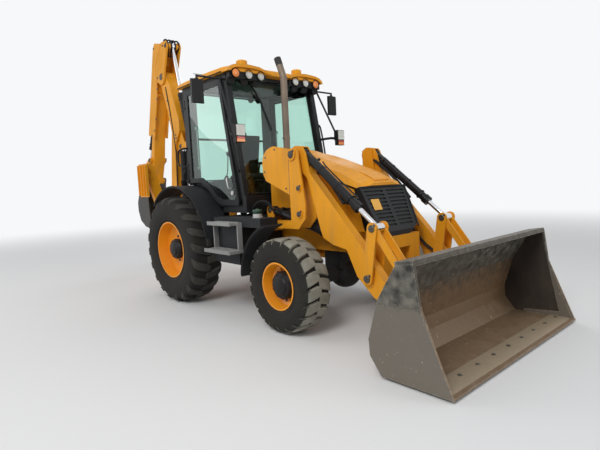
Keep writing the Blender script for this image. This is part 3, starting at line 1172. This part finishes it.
def round_box(low, high, radius, steps=5):
    """Block with corners rounded in the XY plane and both rims: rings of a rounded outline,
    drawn in towards the top and bottom along a quarter circle."""
    (x0, y0, z0), (x1, y1, z1) = low, high
    t = np.linspace(0, math.pi / 2, steps)
    rings = []
    quarter = [(radius * (1 - math.cos(v)), radius * (1 - math.sin(v))) for v in t]
    for z, inset in ([(z0 + rise, inset) for rise, inset in quarter]
                     + [(z1 - rise, inset) for rise, inset in quarter[::-1]]):
        ring = []
        for cx, cy, base in ((x1, y1, 0), (x0, y1, 1), (x0, y0, 2), (x1, y0, 3)):
            sx, sy = (1 if cx == x1 else -1), (1 if cy == y1 else -1)
            r = 2 * radius - inset
            for v in t + base * math.pi / 2:
                ring.append((cx - sx * 2 * radius + r * math.cos(v),
                    cy - sy * 2 * radius + r * math.sin(v), z))
        rings.append(ring)
    return capped(np.array(rings))


class LOADER_OT_roof(bpy.types.Operator):
    """Crowned cab roof with rounded edges and a raised brow over the front lamps"""
    bl_idname = "loader.roof"
    bl_label = "Roof"

    def execute(self, context):
        # half sections from the edge to the middle: share of the half width, height; what lies
        # above the crown's start is lifted, and nothing reaches below the floor
        floor, crown = 2.8805, 2.9
        edge = [(0.985, 2.8805), (0.998, 2.889), (1.0, 2.903), (0.992, 2.920), (0.965, 2.936),
                (0.90, 2.947), (0.80, 2.953), (0.60, 2.958), (0.30, 2.962)]
        rows = []
        for x, half, lift in ((-0.168, 0.700, -0.045), (-0.163, 0.735, -0.022),
                (-0.140, 0.762, -0.006), (-0.06, 0.777, 0.0), (0.30, 0.779, 0.008),
                (0.70, 0.779, 0.010), (0.98, 0.777, 0.004), (1.09, 0.764, -0.002),
                (1.130, 0.738, -0.020), (1.143, 0.700, -0.045)):
            ring = [at(x, max(floor, z + (lift if z > crown else 0)), half * share)
                    for share, z in edge]
            rows.append(ring + [(a, -b, c) for a, b, c in ring[::-1]])
        brows = []
        for _, s in SIDES:
            outer = [(0.775, 2.872), (0.762, 2.906), (0.715, 2.940), (0.640, 2.960),
                (0.465, 2.970), (0.310, 2.960), (0.215, 2.930), (0.120, 2.890)]
            inner = [(0.170, 2.884), (0.222, 2.898), (0.310, 2.924), (0.465, 2.932),
                (0.640, 2.924), (0.712, 2.900), (0.746, 2.872)]
            brows.append(cross_slab([(s * a, b) for a, b in outer + inner], 1.020, 1.162))
        shell = put("roof_shell", [capped(np.array(rows))] + brows, "body_yellow", "chassis",
                    bevel=0.004, sharp=50)
        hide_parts("cab_roof")
        gutters = [tube([at(x, 2.8825, s * y) for x, y in ((-0.12, 0.760), (0.20, 0.774),
            (0.60, 0.778), (1.00, 0.774))], 0.0065, 8, 5) for _, s in SIDES]
        put("roof_gutter", gutters, "hose_rubber", "chassis")
        return {"FINISHED"}


class LOADER_OT_side_covers(bpy.types.Operator):
    """Bent cover plate between the right loader tower and the cab, bare of any mark"""
    bl_idname = "loader.side_covers"
    bl_label = "Side Cover"

    OUTLINE = [(1.655, 1.562), (1.612, 1.64), (1.603, 1.76), (1.622, 1.835), (1.675, 1.893),
               (1.745, 1.922), (1.810, 1.932), (1.985, 1.900), (2.052, 1.878), (2.054, 1.402)]
    # the top's run towards the bonnet: distance from the middle, drop
    TOP = [(0.6675, 0.0), (0.640, 0.004), (0.56, 0.010), (0.480, 0.020), (0.410, 0.034)]
    FACE = -0.686

    def execute(self, context):
        skin = side_slab(self.OUTLINE, self.FACE, self.FACE + 0.018)
        # upper and lower grid of the top, 6 mm apart, closed by quads round their edge
        rim = self.OUTLINE[1:7] + [(1.960, 1.9045)]
        upper, lower = ([at(x, z - drop - depth, -y) for y, drop in self.TOP for x, z in rim]
                        for depth in (0.001, 0.007))
        m, n = len(self.TOP), len(rim)
        faces = grid_faces(m, n) + [f[::-1] for f in grid_faces(m, n, start=m * n)]
        ring = [(0, j) for j in range(n)] + [(i, n - 1) for i in range(1, m)] + \
               [(m - 1, j) for j in range(n - 2, -1, -1)] + [(i, 0) for i in range(m - 2, 0, -1)]
        ids = [i * n + j for i, j in ring]
        faces += [[a, a + m * n, b + m * n, b] for a, b in zip(ids, ids[1:] + ids[:1])]
        put("side_covers", [skin, (np.array(upper + lower), faces)], "body_yellow", "chassis",
            bevel=0.003)
        screws = [bolt(at(x, z, self.FACE), (0, -1, 0), 0.008, 0.007)
                  for x, z in ((1.64, 1.66), (1.66, 1.82), (1.83, 1.895), (2.00, 1.47))]
        seam = tube([at(2.056, z, self.FACE - 0.0005) for z in (1.405, 1.875)], 0.003, 6, 0)
        put("side_cover_screws", screws + [seam], "pin_steel", "chassis")
        return {"FINISHED"}


class LOADER_OT_seat(bpy.types.Operator):
    """Driver's seat: cushions blown up by cloth pressure, piping, base, armrests"""
    bl_idname = "loader.seat"
    bl_label = "Seat"

    PRESSURE, STIFFNESS, FRAMES = 4.0, 30, 20
    VOXEL, QUICK_VOXEL = 0.006, 0.012

    def cushion(self, name, part, cap):
        """A remeshed block inflated by a short cloth run; no point moves more than the cap."""
        verts, faces = part
        mesh = bpy.data.meshes.new(name)
        mesh.from_pydata(np.round(verts, 6).tolist(), [], faces)
        piece = bpy.data.objects.new(name, mesh)
        scene = bpy.context.scene
        scene.collection.objects.link(piece)
        mesh.materials.append(FINISHES["seat_fabric"])
        bpy.context.view_layer.objects.active = piece
        remesh = piece.modifiers.new("even_mesh", "REMESH")
        remesh.mode = "VOXEL"
        remesh.voxel_size = self.VOXEL
        bpy.ops.object.modifier_apply(modifier=remesh.name)
        start = np.array([v.co for v in piece.data.vertices])
        cloth = piece.modifiers.new("pressure", "CLOTH")
        cloth.settings.use_pressure = True
        cloth.settings.uniform_pressure_force = self.PRESSURE
        cloth.settings.effector_weights.gravity = 0.0
        cloth.settings.tension_stiffness = self.STIFFNESS
        cloth.settings.compression_stiffness = self.STIFFNESS
        cloth.point_cache.frame_start, cloth.point_cache.frame_end = 1, self.FRAMES
        for number in range(1, self.FRAMES + 1):
            scene.frame_set(number)
        graph = bpy.context.evaluated_depsgraph_get()
        shape = bpy.data.meshes.new_from_object(piece.evaluated_get(graph))
        end = np.array([v.co for v in shape.vertices])
        move = end - start
        length = np.linalg.norm(move, axis=1)
        if not np.all(np.isfinite(length)):
            raise RuntimeError(f"the cloth run of {name} gave no usable shape")
        move *= np.minimum(1.0, cap / np.maximum(length, 1e-9))[:, None]
        piece.modifiers.remove(cloth)
        piece.data.vertices.foreach_set("co", (start + move).ravel())
        bpy.data.meshes.remove(shape)
        scene.frame_set(1)
        fine = piece.modifiers.new("smooth", "SUBSURF")
        fine.levels = fine.render_levels = 1
        bpy.ops.object.modifier_apply(modifier=fine.name)
        piece.data.shade_smooth()
        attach(piece, "seat")
        return piece

    def execute(self, context):
        base = self.cushion("seat_cushion", round_box(at(0.285, 1.605, -0.205),
                                                      at(0.672, 1.668, 0.205), 0.020), 0.022)
        turn = Matrix.Rotation(math.radians(-80.5), 4, "Y")
        back = round_box((-0.270, -0.200, -0.042), (0.270, 0.200, 0.030), 0.020)
        back = moved(back, shift=at(0.290, 1.965), turn=turn)
        rest = self.cushion("seat_back", back, 0.018)
        tray = round_box(at(0.272, 1.5502, -0.213), at(0.678, 1.600, 0.213), 0.012)
        shell = moved(round_box((-0.285, -0.213, -0.072), (0.272, 0.213, -0.046), 0.0125),
                      shift=at(0.290, 1.965), turn=turn)
        arms = []
        for _, s in SIDES:
            arms.append(moved(round_box((-0.13, -0.022, -0.018), (0.15, 0.022, 0.018), 0.008),
                              shift=at(0.46, 1.835, s * 0.225)))
            arms.append(tube([at(0.330, 1.70, s * 0.214), at(0.325, 1.76, s * 0.222),
                              at(0.345, 1.825, s * 0.225)], 0.013, 8, 4))
            arms.append(block(at(0.315, 1.590, -0.012 + s * 0.212),
                at(0.345, 1.72, 0.012 + s * 0.212)))
        post = lathe([(1.5004, 0), (1.5004, 0.108), (1.512, 0.110), (1.548, 0.085), (1.555, 0.085),
                      (1.555, 0)], at(0.480, 0), (0, 0, 1), 32)
        frame_part = put("seat_frame", [tray, shell, post] + arms, "control_black", "seat",
                         sharp=50)
        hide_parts("seat")
        return {"FINISHED"}


class LOADER_OT_backhoe(bpy.types.Operator):
    """Bolts and weld edges of the boom and the dipper"""
    bl_idname = "loader.backhoe"
    bl_label = "Backhoe Details"

    def execute(self, context):
        bolts = []
        for _, s in SIDES:
            for x, z in ((-2.099, 4.000), (-1.753, 3.965), (-2.105, 3.132), (-2.205, 2.795),
                    (-2.300, 2.600), (-2.060, 3.300), (-2.030, 3.480), (-2.420, 2.520)):
                bolts.append(bolt(at(x, z, s * (0.1295 if z < 3.9 or x < -2.0 else 0.1285)),
                    (0, s, 0), 0.013, 0.010))
        put("dipper_bolts", bolts, "pin_steel", "dipper")
        bolts = []
        for _, s in SIDES:
            for x, z in ((-1.560, 2.440), (-1.590, 2.390), (-1.530, 2.385), (-1.76, 1.25),
                    (-1.70, 1.50), (-1.775, 3.05), (-1.705, 2.80)):
                bolts.append(bolt(at(x, z, s * (0.104 if 2.3 < z < 2.5 else 0.100)), (0, s, 0),
                    0.012, 0.009))
        put("boom_bolts", bolts, "pin_steel", "boom")
        seams = []
        for _, s in SIDES:
            y = s * 0.1292
            seams.append(tube([at(x, z, y) for x, z in ((-1.80, 3.375), (-1.735, 3.60),
                (-1.60, 3.93))], 0.005, 6, 4))
            seams.append(tube([at(x, z, y) for x, z in ((-2.05, 3.405), (-2.085, 3.69),
                (-1.80, 4.02))], 0.005, 6, 0))
        put("dipper_welds", seams, "body_yellow", "dipper")
        return {"FINISHED"}


class LOADER_PT_panel(bpy.types.Panel):
    """Lists the settings and the steps of the dressing"""
    bl_idname = "LOADER_PT_panel"
    bl_label = "Backhoe Loader"
    bl_space_type = "VIEW_3D"
    bl_region_type = "UI"
    bl_category = "Loader"

    def draw(self, context):
        column = self.layout.column()
        for group in (context.scene.loader_paint, context.scene.loader_tyres):
            for name in group.__annotations__:
                column.prop(group, name)
        for operator in OPERATORS:
            column.operator(operator.bl_idname)


SETTINGS = (("loader_paint", LoaderPaint), ("loader_tyres", LoaderTyres))
OPERATORS = (LOADER_OT_stage, LOADER_OT_finishes, LOADER_OT_tyres, LOADER_OT_wheels,
             LOADER_OT_pins, LOADER_OT_bucket, LOADER_OT_lamps, LOADER_OT_cab,
             LOADER_OT_engine_side, LOADER_OT_hoses, LOADER_OT_roof, LOADER_OT_side_covers,
             LOADER_OT_seat, LOADER_OT_backhoe)


def register():
    for name, group in SETTINGS:
        bpy.utils.register_class(group)
        setattr(bpy.types.Scene, name, bpy.props.PointerProperty(type=group))
    for cls in OPERATORS + (LOADER_PT_panel,):
        bpy.utils.register_class(cls)


def unregister():
    for cls in (LOADER_PT_panel,) + OPERATORS[::-1]:
        bpy.utils.unregister_class(cls)
    for name, group in SETTINGS[::-1]:
        delattr(bpy.types.Scene, name)
        bpy.utils.unregister_class(group)


def main():
    register()
    for operator in OPERATORS:
        area, step = operator.bl_idname.split(".")
        getattr(getattr(bpy.ops, area), step)()


if __name__ == "__main__":
    main()
